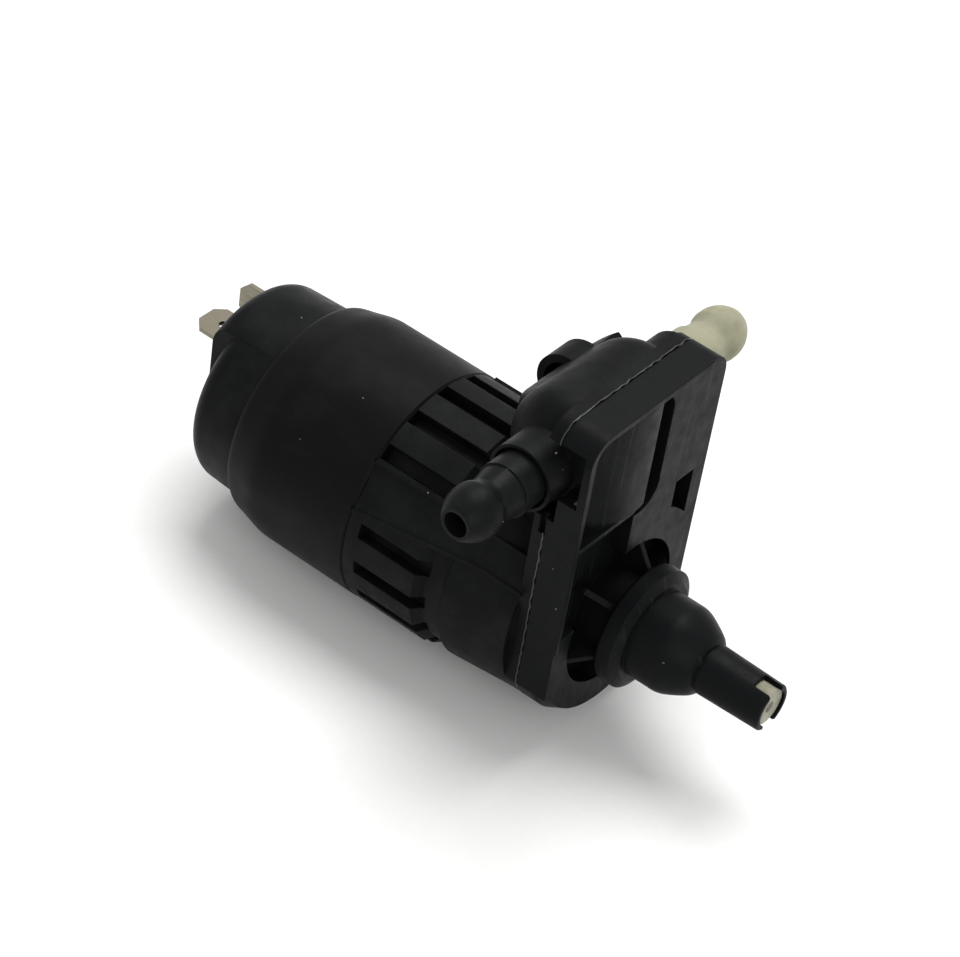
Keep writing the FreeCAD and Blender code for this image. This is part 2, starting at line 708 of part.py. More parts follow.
def motor_sleeve():
    """Rubber sleeve with a rounded shoulder at its rear edge."""
    knee = V(sleeve_rear_x + shoulder_knee[0], 0, sleeve_r - shoulder_knee[1])
    top = V(sleeve_rear_x + shoulder_length, 0, sleeve_r)
    low = V(sleeve_rear_x, 0, barrel_r + sleeve_lip)
    shoulder = Part.BSplineCurve()
    shoulder.interpolate([low, knee, top], InitialTangent=V(0.25, 0, 1), FinalTangent=V(1, 0, 0))
    path = [top, V(sleeve_front_x - sleeve_edge, 0, sleeve_r), V(sleeve_front_x, 0, sleeve_r - sleeve_edge),
            V(sleeve_front_x, 0, barrel_r), V(sleeve_rear_x, 0, barrel_r), low]
    edges = [shoulder.toShape()] + [Part.makeLine(a, b) for a, b in zip(path, path[1:])]
    return turned_edges(edges)


def blade_slots():
    gap = blade_gap
    reach = (cap_face_x - terminal_pad - 1, cap_floor_x + 1)
    flat = box(reach, (flat_blade_y - blade_width / 2 - gap, flat_blade_y + blade_width / 2 + gap),
               (flat_blade_z - blade_thickness / 2 - gap, flat_blade_z + blade_thickness / 2 + gap))
    upright = box(reach, (upright_blade_y - blade_thickness / 2 - gap, upright_blade_y + blade_thickness / 2 + gap),
                  (upright_blade_z - blade_width / 2 - gap, upright_blade_z + blade_width / 2 + gap))
    return [flat, upright]


def end_cap():
    """Cup over the motor's rear end, its face raised round the terminals."""
    def dome(face):
        sq = math.sqrt(0.5)
        edge = face + cap_round_r
        start = V(edge, 0, cap_edge_r)
        end = V(face, 0, cap_edge_r - cap_round_r)
        middle = V(edge - cap_round_r * sq, 0, cap_edge_r - cap_round_r + cap_round_r * sq)
        rear = sleeve_rear_x + cap_overlap
        edges = [Part.makeLine(V(face, 0, 0), end), Part.Arc(end, middle, start).toShape(),
                 Part.makeLine(start, V(rear, 0, barrel_r)), Part.makeLine(V(rear, 0, barrel_r), V(rear, 0, 0)),
                 Part.makeLine(V(rear, 0, 0), V(face, 0, 0))]
        return turned_edges(edges)

    high = dome(cap_face_x - terminal_pad)
    reach = sleeve_r
    pad = box((cap_face_x - terminal_pad - 1, sleeve_rear_x), (terminal_pad_side_y, reach),
              (terminal_pad_low_z, reach))
    cap = fused([dome(cap_face_x), high.common(pad)])
    cuts = [xcyl(can_r + slip_gap, can_open_x, sleeve_rear_x + 1),
            xcyl(can_r + slip_gap, carrier_x[0], can_open_x + 0.1),
            xcyl(cap_wall_inner_r, cap_floor_x, carrier_x[0] + 0.1)] + blade_slots()
    return cap.cut(fused(cuts))


def blade(y, z, upright):
    """Flat tab with chamfered tip corners and a latch hole."""
    half = blade_width / 2
    tip = blade_tip_x
    outline = [V(blade_root_x, -half, 0), V(tip + blade_chamfer, -half, 0), V(tip, -half + blade_chamfer, 0),
               V(tip, half - blade_chamfer, 0), V(tip + blade_chamfer, half, 0), V(blade_root_x, half, 0)]
    plate = prism(ring_of(outline), V(0, 0, blade_thickness))
    plate.translate(V(0, 0, -blade_thickness / 2))
    hole = Part.makeCylinder(blade_hole_r, 4, V(tip + blade_hole_from_tip, 0, -2))
    plate = plate.cut(hole)
    if upright:
        plate.rotate(ORIGIN, X_AXIS, 90)
    plate.translate(V(0, y, z))
    return plate


def brush_carrier():
    plate = xcyl(can_r, carrier_x[0], carrier_x[1])
    boss = xcyl(carrier_boss_r, rear_bush_x[0], carrier_x[1])
    whole = fused([plate, boss])
    return whole.cut(xcyl(bush_r, rear_bush_x[0] - 1, carrier_x[1] + 1))


def brush(way):
    reach = commutator_r + run_gap
    y = sorted((way * reach, way * (reach + brush_length)))
    block = box((brush_x, brush_x + brush_height), y, (-brush_width / 2, brush_width / 2))
    return block.cut(xcyl(reach, brush_x - 1, brush_x + brush_height + 1))


def brush_arm(way):
    """Spring strip from the carrier to the back of its brush."""
    y = way * (commutator_r + run_gap + brush_length)
    strip = box((carrier_x[1], brush_x + brush_height + 0.6), sorted((y, y + way * arm_thickness)),
                (-arm_width / 2, arm_width / 2))
    foot = box((carrier_x[1], carrier_x[1] + arm_thickness), sorted((y, y + way * 4.0)),
               (-arm_width / 2, arm_width / 2))
    return fused([strip, foot])


def motor_can():
    inner = can_r - can_wall
    shell = tube(can_r, inner, can_open_x, bulkhead_rear_x)
    nose = xcyl(can_r, bulkhead_rear_x - can_wall, bulkhead_rear_x)
    boss = xcyl(can_nose_r, front_bush_x[0], can_nose_x)
    whole = fused([shell, nose, boss])
    return whole.cut(xcyl(bush_r, front_bush_x[0] - 1, can_nose_x + 1))


def magnet(middle):
    return sector(magnet_inner_r, can_r - can_wall, magnet_x[0], magnet_x[1], middle, magnet_half_angle)


def magnet_clip(middle):
    """Spring strip that spreads the two magnets apart, one in each gap."""
    half = 90 - magnet_half_angle
    r = can_r - can_wall
    return sector(r - clip_thickness, r, magnet_x[0] + clip_offset, magnet_x[0] + clip_offset + clip_width, middle, half)


def bush(span):
    return tube(bush_r, shaft_r + run_gap, span[0], span[1])


def slot_form(inset, x0, x1):
    """Winding space between two poles, shrunk by the inset."""
    shoe_r = core_r - core_shoe - inset
    root_r = core_hub_r + 0.6 + inset
    half_pitch = math.pi / core_poles
    side = core_tooth_width / 2 + inset
    inner_angle = half_pitch - math.asin(side / root_r) if side < root_r else 0.05
    outer_angle = half_pitch - math.asin(side / shoe_r)
    inner_angle = max(inner_angle, 0.08)
    points = []
    for r, a in ((root_r, -inner_angle), (shoe_r, -outer_angle), (shoe_r * 1.0, 0.0), (shoe_r, outer_angle),
                 (root_r, inner_angle)):
        points.append(V(x0, r * math.cos(a), r * math.sin(a)))
    return prism(ring_of(points), V(x1 - x0, 0, 0))


def rotor_core():
    core = tube(core_r, shaft_r, core_x[0], core_x[1])
    for k in range(core_poles):
        hollow = slot_form(0.0, core_x[0] - 1, core_x[1] + 1)
        mouth = box((core_x[0] - 1, core_x[1] + 1), (core_r - core_shoe - 0.6, core_r + 1),
                    (-core_slot_mouth / 2, core_slot_mouth / 2))
        core = core.cut(at_angle(fused([hollow, mouth]), k * 360.0 / core_poles))
    return core


def rotor_windings():
    """Copper in the slots with a turn-over ring at each end."""
    shapes = []
    for k in range(core_poles):
        bar = slot_form(coil_inset, core_x[0] - coil_end, core_x[1] + coil_end)
        shapes.append(at_angle(bar, k * 360.0 / core_poles))
    inner = core_hub_r + 0.9
    outer = core_r - core_shoe - coil_inset - 0.2
    shapes.append(tube(outer, inner, core_x[0] - coil_end, core_x[0]))
    shapes.append(tube(outer, inner, core_x[1], core_x[1] + coil_end))
    return fused(shapes)


def commutator():
    body = tube(commutator_r, shaft_r, commutator_x[0], commutator_x[1])
    riser = tube(commutator_r + 0.9, shaft_r, commutator_x[1] - 1.0, commutator_x[1])
    whole = fused([body, riser])
    for k in range(core_poles):
        cut = box((commutator_x[0] - 1, commutator_x[1] + 1), (commutator_r - 0.5, commutator_r + 2),
                  (-commutator_cut / 2, commutator_cut / 2))
        whole = whole.cut(at_angle(cut, 36 + k * 360.0 / core_poles))
    return whole


def shaft_seal():
    """Lip seal: outer ring with a lip that leans onto the shaft."""
    profile = [(seal_rear_x, shaft_hole_r), (seal_rear_x, seal_r), (seal_front_x, seal_r),
               (seal_front_x, seal_r - 0.9), (seal_rear_x + 0.9, seal_r - 0.9),
               (seal_rear_x + 0.9, shaft_r + 1.2), (seal_front_x - 0.3, shaft_r + 0.6),
               (seal_front_x - 0.3, shaft_r + run_gap), (seal_front_x - 0.7, shaft_r + run_gap)]
    return turned(profile)


def seal_retainer():
    return tube(seal_r, shaft_r + 1.6, seal_front_x, chamber_back_x)


def impeller():
    """Straight radial vanes, because the pump runs both ways."""
    disc = xcyl(impeller_r, impeller_rear_x, impeller_rear_x + impeller_disc)
    hub = xcyl(impeller_hub_r, impeller_rear_x, impeller_front_x)
    shapes = [disc, hub]
    for k in range(impeller_vanes):
        corners = [V(impeller_rear_x, 1.0, 0), V(impeller_rear_x, impeller_r, 0), V(impeller_front_x, impeller_r, 0),
                   V(impeller_front_x, impeller_eye_r + 1.6, 0), V(impeller_rear_x + 4.0, 1.0, 0)]
        vane = prism(ring_of(corners), V(0, 0, impeller_vane_thickness))
        vane.translate(V(0, 0, -impeller_vane_thickness / 2))
        shapes.append(at_angle(vane, k * 360.0 / impeller_vanes))
    return fused(shapes).cut(xcyl(shaft_r, impeller_rear_x - 1, shaft_front_x))


parts = {
    "pump_housing": pump_housing(),
    "front_cover": front_cover(),
    "black_outlet": outlet_nozzle(-1),
    "beige_outlet": outlet_nozzle(1),
    "valve_diaphragm": valve_diaphragm(),
    "inlet_strainer": inlet_strainer(),
    "motor_sleeve": motor_sleeve(),
    "end_cap": end_cap(),
    "terminal_flat": blade(flat_blade_y, flat_blade_z, False),
    "terminal_upright": blade(upright_blade_y, upright_blade_z, True),
    "brush_carrier": brush_carrier(),
    "brush_left": brush(-1),
    "brush_right": brush(1),
    "brush_arm_left": brush_arm(-1),
    "brush_arm_right": brush_arm(1),
    "motor_can": motor_can(),
    "magnet_upper": magnet(90),
    "magnet_lower": magnet(270),
    "magnet_clip_left": magnet_clip(180),
    "magnet_clip_right": magnet_clip(0),
    "front_bush": bush(front_bush_x),
    "rear_bush": bush(rear_bush_x),
    "shaft": xcyl(shaft_r, shaft_rear_x, shaft_front_x),
    "rotor_core": rotor_core(),
    "rotor_windings": rotor_windings(),
    "commutator": commutator(),
    "front_spacer": tube(spacer_r, shaft_r, core_x[1], front_bush_x[0] - end_play),
    "rear_washer": tube(washer_r, shaft_r, rear_bush_x[1] + end_play, commutator_x[0]),
    "shaft_seal": shaft_seal(),
    "seal_retainer": seal_retainer(),
    "impeller": impeller(),
}

os.makedirs("parts", exist_ok=True)
for name, shape in parts.items():
    shape.exportStep("parts/%s.step" % name)
    solids = len(shape.Solids)
    print("%-18s solids %d valid %s volume %.1f mm3" % (name, solids, shape.isValid(), shape.Volume))
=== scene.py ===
"""Looks of a windshield washer pump with two hose nozzles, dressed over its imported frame."""

import math

import bmesh
import bpy
from mathutils import Matrix, Vector, noise as waves


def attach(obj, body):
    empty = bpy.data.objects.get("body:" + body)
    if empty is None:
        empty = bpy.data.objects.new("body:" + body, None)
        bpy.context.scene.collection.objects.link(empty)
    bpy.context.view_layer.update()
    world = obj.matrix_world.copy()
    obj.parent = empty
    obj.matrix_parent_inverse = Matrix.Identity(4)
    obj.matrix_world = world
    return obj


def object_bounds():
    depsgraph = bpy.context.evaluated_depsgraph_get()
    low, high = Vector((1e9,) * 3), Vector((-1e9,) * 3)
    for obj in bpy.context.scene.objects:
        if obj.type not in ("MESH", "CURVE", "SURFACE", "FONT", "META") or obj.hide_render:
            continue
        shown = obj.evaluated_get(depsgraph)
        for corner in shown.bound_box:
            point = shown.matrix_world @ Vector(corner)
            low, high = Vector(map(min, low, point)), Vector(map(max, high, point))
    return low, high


bl_info = {
    "name": "Washer Pump Looks",
    "version": (1, 0, 0),
    "blender": (4, 5, 0),
    "location": "View3D > Sidebar > Washer Pump",
    "description": "Finishes a windshield washer pump and adds its weld flash and loose crumbs",
    "category": "Object",
}

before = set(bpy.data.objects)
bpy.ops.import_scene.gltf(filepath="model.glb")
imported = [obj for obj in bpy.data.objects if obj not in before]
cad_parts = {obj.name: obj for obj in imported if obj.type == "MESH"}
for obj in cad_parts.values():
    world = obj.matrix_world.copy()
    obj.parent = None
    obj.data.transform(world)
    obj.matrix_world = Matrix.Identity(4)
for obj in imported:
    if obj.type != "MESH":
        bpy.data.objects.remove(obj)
CAD_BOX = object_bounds()
MM = 0.001
DULL_SHEEN = 0.055       # reflection level of dull black plastic and rubber
MELTED_SHEEN = 0.4       # reflection level of nylon that melted and set again
FLASH_SIDES = 8          # corners of the weld flash's cross-section
FLASH_MEAN = 0.5         # mean height of the weld flash, as a share of its tallest
FLASH_SWING = 0.9        # how strongly the height swells, on the same scale
FLASH_LEAST = 0.2        # least height, on the same scale
CRUMB_FORM = (1.0, 0.7, 0.5)    # length, width and height of a crumb, as shares
CRUMB_RAGGED = 0.45      # how far a crumb's surface wanders, as a share of its radius
CRUMB_WAVES = 1.3        # wanderings in one radius
FLOOR_REACH = 6.0        # metres from the middle of the floor to each edge


def linear(code):
    """An sRGB hex colour such as #A0A0A0 as linear red, green and blue."""
    parts = [int(code[i:i + 2], 16) / 255 for i in (1, 3, 5)]
    return tuple(c / 12.92 if c <= 0.04045 else ((c + 0.055) / 1.055) ** 2.4 for c in parts)


def colour(code, name, description):
    """A colour property with this sRGB hex code as its default."""
    return bpy.props.FloatVectorProperty(name=name, description=description, subtype="COLOR", size=3,
                                         min=0.0, max=1.0, default=linear(code))


def length(size_mm, name, description):
    """A length property whose default is given in millimetres."""
    return bpy.props.FloatProperty(name=name, description=description, unit="LENGTH", subtype="DISTANCE",
                                   precision=5, default=size_mm * MM)


def angle(degrees, name, description):
    """An angle property whose default is given in degrees."""
    return bpy.props.FloatProperty(name=name, description=description, subtype="ANGLE",
                                   default=math.radians(degrees))


class WASHERPUMP_PG_colours(bpy.types.PropertyGroup):
    housing: colour("#0B0C0C", "Housing nylon", "Black glass-filled nylon of the cage and the valve head")
    housing_dust: colour("#161717", "Housing haze", "Paler haze of glass fibre near the moulded surface")
    cover: colour("#0D0E0F", "Cover nylon", "Black nylon of the plate, the collar and the inlet tube")
    # Cover scuff colour: partly real scuffing, partly a painted highlight on the pads turned towards +X.
    cover_scuff_and_highlight: colour("#2B2C2B", "Cover scuff", "Paler rubbed streaks on the pads of the cover")
    dark_nozzle: colour("#0E0F0F", "Dark nozzle", "Black acetal of the first hose nozzle")
    pale_nozzle: colour("#9A9983", "Beige nozzle", "Beige-grey acetal of the second hose nozzle")
    pale_shadow: colour("#7D7B66", "Beige nozzle soil", "Darker handled tone of the beige nozzle")
    sleeve: colour("#0A0A0B", "Rubber sleeve", "Black rubber stretched over the motor")
    sleeve_bloom: colour("#171818", "Rubber bloom", "Grey bloom on the rubber")
    cap: colour("#0B0C0C", "End cap", "Black polyester of the end cap")
    blade: colour("#837D6F", "Blade terminals", "Tin on brass")
    strainer: colour("#A9A79A", "Strainer nylon", "Natural nylon of the inlet strainer")
    white_plastic: colour("#D8D4C6", "White acetal", "Natural acetal of the impeller and the motor's spacers")
    copper: colour("#B5623A", "Copper", "Enamelled copper wire and commutator bars")
    flash: colour("#131414", "Weld flash", "Nylon that melted out of the seam")
    crumb: colour("#6E6F6B", "Crumb", "Loose crumb of torn nylon, stressed to grey")


class WASHERPUMP_PG_sizes(bpy.types.PropertyGroup):
    grain: length(0.35, "Grain", "Width of one grain of the eroded mould surface")
    haze: length(6.0, "Haze", "Size of the cloudy patches in the plastic")
    edge_round: length(0.22, "Edge radius", "Radius that a moulded edge shows")
    plate_corner: length(4.0, "Plate corner", "Radius of the cover's two top corners")
    flash_height: length(0.32, "Weld flash height", "How far the weld flash stands out of the seam")
    flash_width: length(0.40, "Weld flash width", "Width of the weld flash along the motor axis")
    flash_wave: length(1.3, "Weld flash wave", "Distance between two swellings of the weld flash")
    flash_step: length(0.25, "Weld flash step", "Distance between two cross-sections of the weld flash")
    flash_low: length(0.09, "Low weld flash", "Height of the weld flash where the seam is nearly clean")
    flash_middle: length(1.0, "Weld flash middle", "Where the middle of the tall weld flash is, across the pump")
    flash_reach: length(11.0, "Weld flash reach", "How far the tall weld flash goes to either side of there")
    crumb_size: length(0.42, "Crumb", "Width of the largest loose crumb")


class WASHERPUMP_PG_camera(bpy.types.PropertyGroup):
    azimuth: angle(32.781, "Azimuth", "Direction of the camera round the pump, from its dark nozzle's side")
    elevation: angle(40.588, "Elevation", "Height of the camera over the pump's level")
    roll: angle(9.573, "Roll", "Turn of the camera about its own line of sight")
    distance: length(489.762, "Distance", "From the aim point to the camera")
    aim_x: length(-33.312, "Aim X", "Aim point along the motor axis")
    aim_z: length(7.648, "Aim Z", "Aim point's height over the motor axis")
    lens: bpy.props.FloatProperty(name="Lens", description="Focal length in millimetres on a 36 mm wide sensor",
                                  default=126.74)


def colours():
    return bpy.context.scene.washer_pump_colours


def sizes():
    return bpy.context.scene.washer_pump_sizes


def add_node(tree, kind, inputs=None, **settings):
    """Adds a node; an input given as a socket is linked and any other value is set."""
    node = tree.nodes.new(kind)
    for name, value in settings.items():
        setattr(node, name, value)
    for socket, value in (inputs or {}).items():
        if isinstance(value, bpy.types.NodeSocket):
            tree.links.new(value, node.inputs[socket])
        else:
            node.inputs[socket].default_value = value
    return node


def new_material(name):
    """A material with only a shader and an output, its node tree and its shader."""
    material = bpy.data.materials.new(name)
    material.use_nodes = True
    tree = material.node_tree
    tree.nodes.clear()
    shader = add_node(tree, "ShaderNodeBsdfPrincipled")
    output = add_node(tree, "ShaderNodeOutputMaterial")
    tree.links.new(shader.outputs["BSDF"], output.inputs["Surface"])
    return material, tree, shader


def place(tree, stretch=(1, 1, 1)):
    """Position on the pump in metres, stretched for streaks."""
    spot = add_node(tree, "ShaderNodeTexCoord")
    return add_node(tree, "ShaderNodeMapping", {"Vector": spot.outputs["Object"], "Scale": stretch}).outputs[0]


def noise(tree, size, detail=3.0, rough=0.55, stretch=(1, 1, 1)):
    """Cloudy pattern whose patches are about this many metres wide."""
    return add_node(tree, "ShaderNodeTexNoise", {"Vector": place(tree, stretch), "Scale": 1 / size,
                                                 "Detail": detail, "Roughness": rough}).outputs["Fac"]


def span(tree, value, low, high, to_low=0.0, to_high=1.0):
    """The value's range from low to high, stretched to another range."""
    return add_node(tree, "ShaderNodeMapRange", {"Value": value, "From Min": low, "From Max": high,
                                                 "To Min": to_low, "To Max": to_high}).outputs[0]


def mixed(tree, amount, first, second):
    """The first colour going over to the second as the amount rises."""
    return add_node(tree, "ShaderNodeMix", {0: amount, 6: (*first, 1), 7: (*second, 1)},
                    data_type="RGBA").outputs[2]


def bumped(tree, height, depth, strength=1.0, under=None):
    """Normals of a relief of this depth in metres, laid over the normals under it."""
    inputs = {"Height": height, "Distance": depth, "Strength": strength}
    if under is not None:
        inputs["Normal"] = under
    return add_node(tree, "ShaderNodeBump", inputs).outputs[0]


def softened(tree, radius):
    """Normals that round the moulded edges by this radius."""
    return add_node(tree, "ShaderNodeBevel", {"Radius": radius}, samples=6).outputs[0]


def moulded_plastic(name, base, haze, rough, grain_depth, edge=1.0):
    """Moulded thermoplastic: cloudy tone, fine mould grain (depth in mm) and rounded edges."""
    material, tree, shader = new_material(name)
    size = sizes()
    cloud = noise(tree, size.haze, 5.0, 0.6)
    tone = mixed(tree, span(tree, cloud, 0.42, 0.75), base, haze)
    tree.links.new(tone, shader.inputs["Base Color"])
    tree.links.new(span(tree, noise(tree, size.haze * 0.4, 4.0), 0.3, 0.7, rough - 0.07, rough + 0.09),
                   shader.inputs["Roughness"])
    grain = noise(tree, size.grain, 2.0, 0.6)
    edges = softened(tree, size.edge_round * edge)
    tree.links.new(bumped(tree, grain, grain_depth * MM, 0.6, edges), shader.inputs["Normal"])
    shader.inputs["IOR"].default_value = 1.5
    shader.inputs["Specular IOR Level"].default_value = DULL_SHEEN
    return material, tree, shader


def glass_filled_nylon():
    """Nylon 66 with glass fibre, moulded: nearly black, its fibres give a faint grey haze and a dry sheen."""
    c = colours()
    return moulded_plastic("glass filled nylon moulded", c.housing, c.housing_dust, 0.46, 0.06)[0]


def highlit_scuffed_nylon():
    """The same nylon on the cover: rubbing in its box left faint upright streaks; they are also a painted
    highlight, paler only on the faces turned towards +X, where light falls on the pads.
    """
    c = colours()
    material, tree, shader = moulded_plastic("glass filled nylon scuffed and highlit", c.cover, c.cover_scuff_and_highlight,
                                             0.43, 0.05)
    streak = span(tree, noise(tree, 0.7 * MM, 2.0, 0.5, (0.4, 1.0, 0.06)), 0.58, 0.78, 0.0, 0.7)
    normal = add_node(tree, "ShaderNodeTexCoord").outputs["Normal"]
    facing = add_node(tree, "ShaderNodeSeparateXYZ", {0: normal})
    # Painted highlight: the paler streaks are kept to faces turned towards +X, where light falls on the pads.
    lit_faces = span(tree, facing.outputs["X"], 0.5, 1.0)
    rubbed_and_highlit = add_node(tree, "ShaderNodeMath", {0: streak, 1: lit_faces}, operation="MULTIPLY")
    tone = mixed(tree, rubbed_and_highlit.outputs[0], c.cover, c.cover_scuff_and_highlight)
    tree.links.new(tone, shader.inputs["Base Color"])
    return material


def black_acetal():
    """Acetal, moulded: smooth and waxy, with a broad soft highlight."""
    c = colours()
    return moulded_plastic("black acetal moulded", c.dark_nozzle, c.housing_dust, 0.38, 0.03, 0.8)[0]


def beige_acetal():
    """Acetal in a beige grey, moulded: light passes a little way into it, and handling leaves darker soil."""
    c = colours()
    material, tree, shader = moulded_plastic("beige acetal moulded", c.pale_nozzle, c.pale_shadow,
                                             0.42, 0.03, 0.8)
    shader.inputs["Subsurface Weight"].default_value = 0.15
    shader.inputs["Subsurface Radius"].default_value = (0.0012, 0.0010, 0.0007)
    return material


def sleeve_rubber():
    """EPDM rubber, moulded and stretched on: silky dull black with a grey bloom and fine rub marks."""
    c = colours()
    material, tree, shader = new_material("epdm rubber moulded")
    size = sizes()
    cloud = noise(tree, size.haze * 1.5, 5.0, 0.65, (0.5, 1, 1))
    tone = mixed(tree, span(tree, cloud, 0.45, 0.8), c.sleeve, c.sleeve_bloom)
    tree.links.new(tone, shader.inputs["Base Color"])
    tree.links.new(span(tree, noise(tree, size.haze, 4.0), 0.3, 0.7, 0.40, 0.52), shader.inputs["Roughness"])
    rub = noise(tree, 0.5 * MM, 3.0, 0.6, (0.15, 1, 1))
    tree.links.new(bumped(tree, rub, 0.03 * MM, 0.5), shader.inputs["Normal"])
    shader.inputs["Specular IOR Level"].default_value = DULL_SHEEN
    return material


def cap_polyester():
    """PBT polyester, moulded: smooth satin black."""
    c = colours()
    return moulded_plastic("pbt polyester moulded", c.cap, c.sleeve_bloom, 0.42, 0.03)[0]


def tinned_brass():
    """Tin plate on stamped brass: soft grey metal with rolling lines along the blade."""
    material, tree, shader = new_material("tinned brass stamped")
    base = colours().blade
    darker = tuple(c * 0.62 for c in base)
    lines = noise(tree, 0.25 * MM, 3.0, 0.6, (0.08, 1, 1))
    tree.links.new(mixed(tree, span(tree, lines, 0.4, 0.75), base, darker), shader.inputs["Base Color"])
    shader.inputs["Metallic"].default_value = 1.0
    tree.links.new(span(tree, lines, 0.3, 0.7, 0.24, 0.42), shader.inputs["Roughness"])
    edges = softened(tree, 0.1 * MM)
    tree.links.new(bumped(tree, lines, 0.02 * MM, 0.5, edges), shader.inputs["Normal"])
    return material


def natural_nylon():
    """Uncoloured nylon, moulded and wetted: milky grey with a fine sieve pattern."""
    c = colours()
    material, tree, shader = moulded_plastic("natural nylon moulded", c.strainer, c.pale_shadow,
                                             0.35, 0.04, 0.5)
    mesh = add_node(tree, "ShaderNodeTexVoronoi", {"Vector": place(tree), "Scale": 1 / (0.45 * MM)},
                    feature="DISTANCE_TO_EDGE").outputs["Distance"]
    tree.links.new(bumped(tree, mesh, 0.2 * MM, 0.8), shader.inputs["Normal"])
    return material


def white_acetal():
    """Natural acetal, moulded: milky white inner pieces."""
    c = colours()
    return moulded_plastic("natural acetal moulded", c.white_plastic, c.strainer, 0.4, 0.03, 0.6)[0]


def seal_rubber():
    """Nitrile rubber, moulded: dull black."""
    c = colours()
    return moulded_plastic("nitrile rubber moulded", c.sleeve, c.sleeve_bloom, 0.6, 0.04, 0.6)[0]


def inner_metal(name, code, dark_code, rough, line_size, stretch):
    """Plain metal of a sealed motor piece with its working marks."""
    material, tree, shader = new_material(name)
    marks = noise(tree, line_size, 3.0, 0.6, stretch)
    tree.links.new(mixed(tree, span(tree, marks, 0.35, 0.75), linear(code), linear(dark_code)),
                   shader.inputs["Base Color"])
    shader.inputs["Metallic"].default_value = 1.0
    tree.links.new(span(tree, marks, 0.3, 0.7, rough - 0.06, rough + 0.08), shader.inputs["Roughness"])
    tree.links.new(bumped(tree, marks, 0.02 * MM, 0.5), shader.inputs["Normal"])
    return material


def zinc_plate():
    """Zinc-plated drawn steel: cool grey with drawing lines along the can."""
    return inner_metal("zinc plated steel drawn", "#A8ADB0", "#7F8488", 0.34, 0.6 * MM, (0.1, 1, 1))


def core_sheet():
    """Stacked electrical steel sheets, 0.5 mm each: their edges show as rings."""
    return inner_metal("electrical steel stacked", "#6E6E70", "#47474A", 0.45, 0.5 * MM, (1, 0.05, 0.05))


def sintered_bronze():
    """Sintered bronze soaked in oil: warm brown metal full of pores."""
    return inner_metal("bronze sintered", "#9A7442", "#5E4526", 0.5, 0.2 * MM, (1, 1, 1))


def copper_wire():
    """Enamelled copper wire, wound: red-brown, its turns 0.4 mm apart."""
    c = colours()
    material, tree, shader = new_material("copper wire enamelled")
    turns = add_node(tree, "ShaderNodeTexWave", {"Vector": place(tree), "Scale": 1 / (0.4 * MM) / 20,
                                                 "Distortion": 1.5}, bands_direction="X").outputs["Fac"]
    darker = tuple(v * 0.45 for v in c.copper)
    tree.links.new(mixed(tree, turns, c.copper, darker), shader.inputs["Base Color"])
    shader.inputs["Metallic"].default_value = 0.8
    shader.inputs["Roughness"].default_value = 0.35
    tree.links.new(bumped(tree, turns, 0.1 * MM), shader.inputs["Normal"])
    return material


def ferrite():
    """Strontium ferrite, pressed and fired: dark grey and stony."""
    return moulded_plastic("ferrite fired", linear("#2E2D2E"), linear("#454346"), 0.7, 0.05, 0.6)[0]


def carbon():
    """Carbon brush, pressed: soft black with a graphite sheen."""
    return moulded_plastic("carbon pressed", linear("#1A1A1C"), linear("#333336"), 0.45, 0.03, 0.4)[0]


def melted_nylon():
    """The same nylon, melted out of the weld and set: smoother and glossier than the moulded skin."""
    c = colours()
    material, tree, shader = moulded_plastic("glass filled nylon melted", c.flash, c.housing_dust,
                                             0.3, 0.08, 0.3)
    shader.inputs["Specular IOR Level"].default_value = MELTED_SHEEN
    return material


def torn_nylon():
    """Crumbs torn off the same nylon: stress turns them grey and rough."""
    c = colours()
    return moulded_plastic("glass filled nylon torn", c.crumb, c.flash, 0.6, 0.08, 0.3)[0]


FINISHES = {
    glass_filled_nylon: ("pump_housing",),
    # The cover's scuff streaks are partly a painted highlight on its +X faces.
    highlit_scuffed_nylon: ("front_cover",),
    black_acetal: ("black_outlet",),
    beige_acetal: ("beige_outlet",),
    sleeve_rubber: ("motor_sleeve",),
    cap_polyester: ("end_cap",),
    tinned_brass: ("terminal_flat", "terminal_upright"),
    natural_nylon: ("inlet_strainer",),
    white_acetal: ("impeller", "brush_carrier", "front_spacer", "rear_washer", "seal_retainer"),
    seal_rubber: ("valve_diaphragm", "shaft_seal"),
    zinc_plate: ("motor_can", "magnet_clip_left", "magnet_clip_right", "shaft"),
    core_sheet: ("rotor_core",),
    sintered_bronze: ("front_bush", "rear_bush", "brush_arm_left", "brush_arm_right"),
    copper_wire: ("rotor_windings", "commutator"),
    ferrite: ("magnet_upper", "magnet_lower"),
    carbon: ("brush_left", "brush_right"),
}


class WASHERPUMP_OT_finishes(bpy.types.Operator):
    """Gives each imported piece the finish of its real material"""
    bl_idname = "washer_pump.finishes"
    bl_label = "Finish the packed pieces"

    def execute(self, context):
        for make, nodes in FINISHES.items():
            material = make()
            for node in nodes:
                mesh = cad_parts[node].data
                mesh.materials.clear()
                mesh.materials.append(material)
        return {"FINISHED"}


def node_box(name):
    """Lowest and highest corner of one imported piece."""
    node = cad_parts[name]
    corners = [node.matrix_world @ Vector(corner) for corner in node.bound_box]
    return (Vector(min(c[i] for c in corners) for i in range(3)),
            Vector(max(c[i] for c in corners) for i in range(3)))


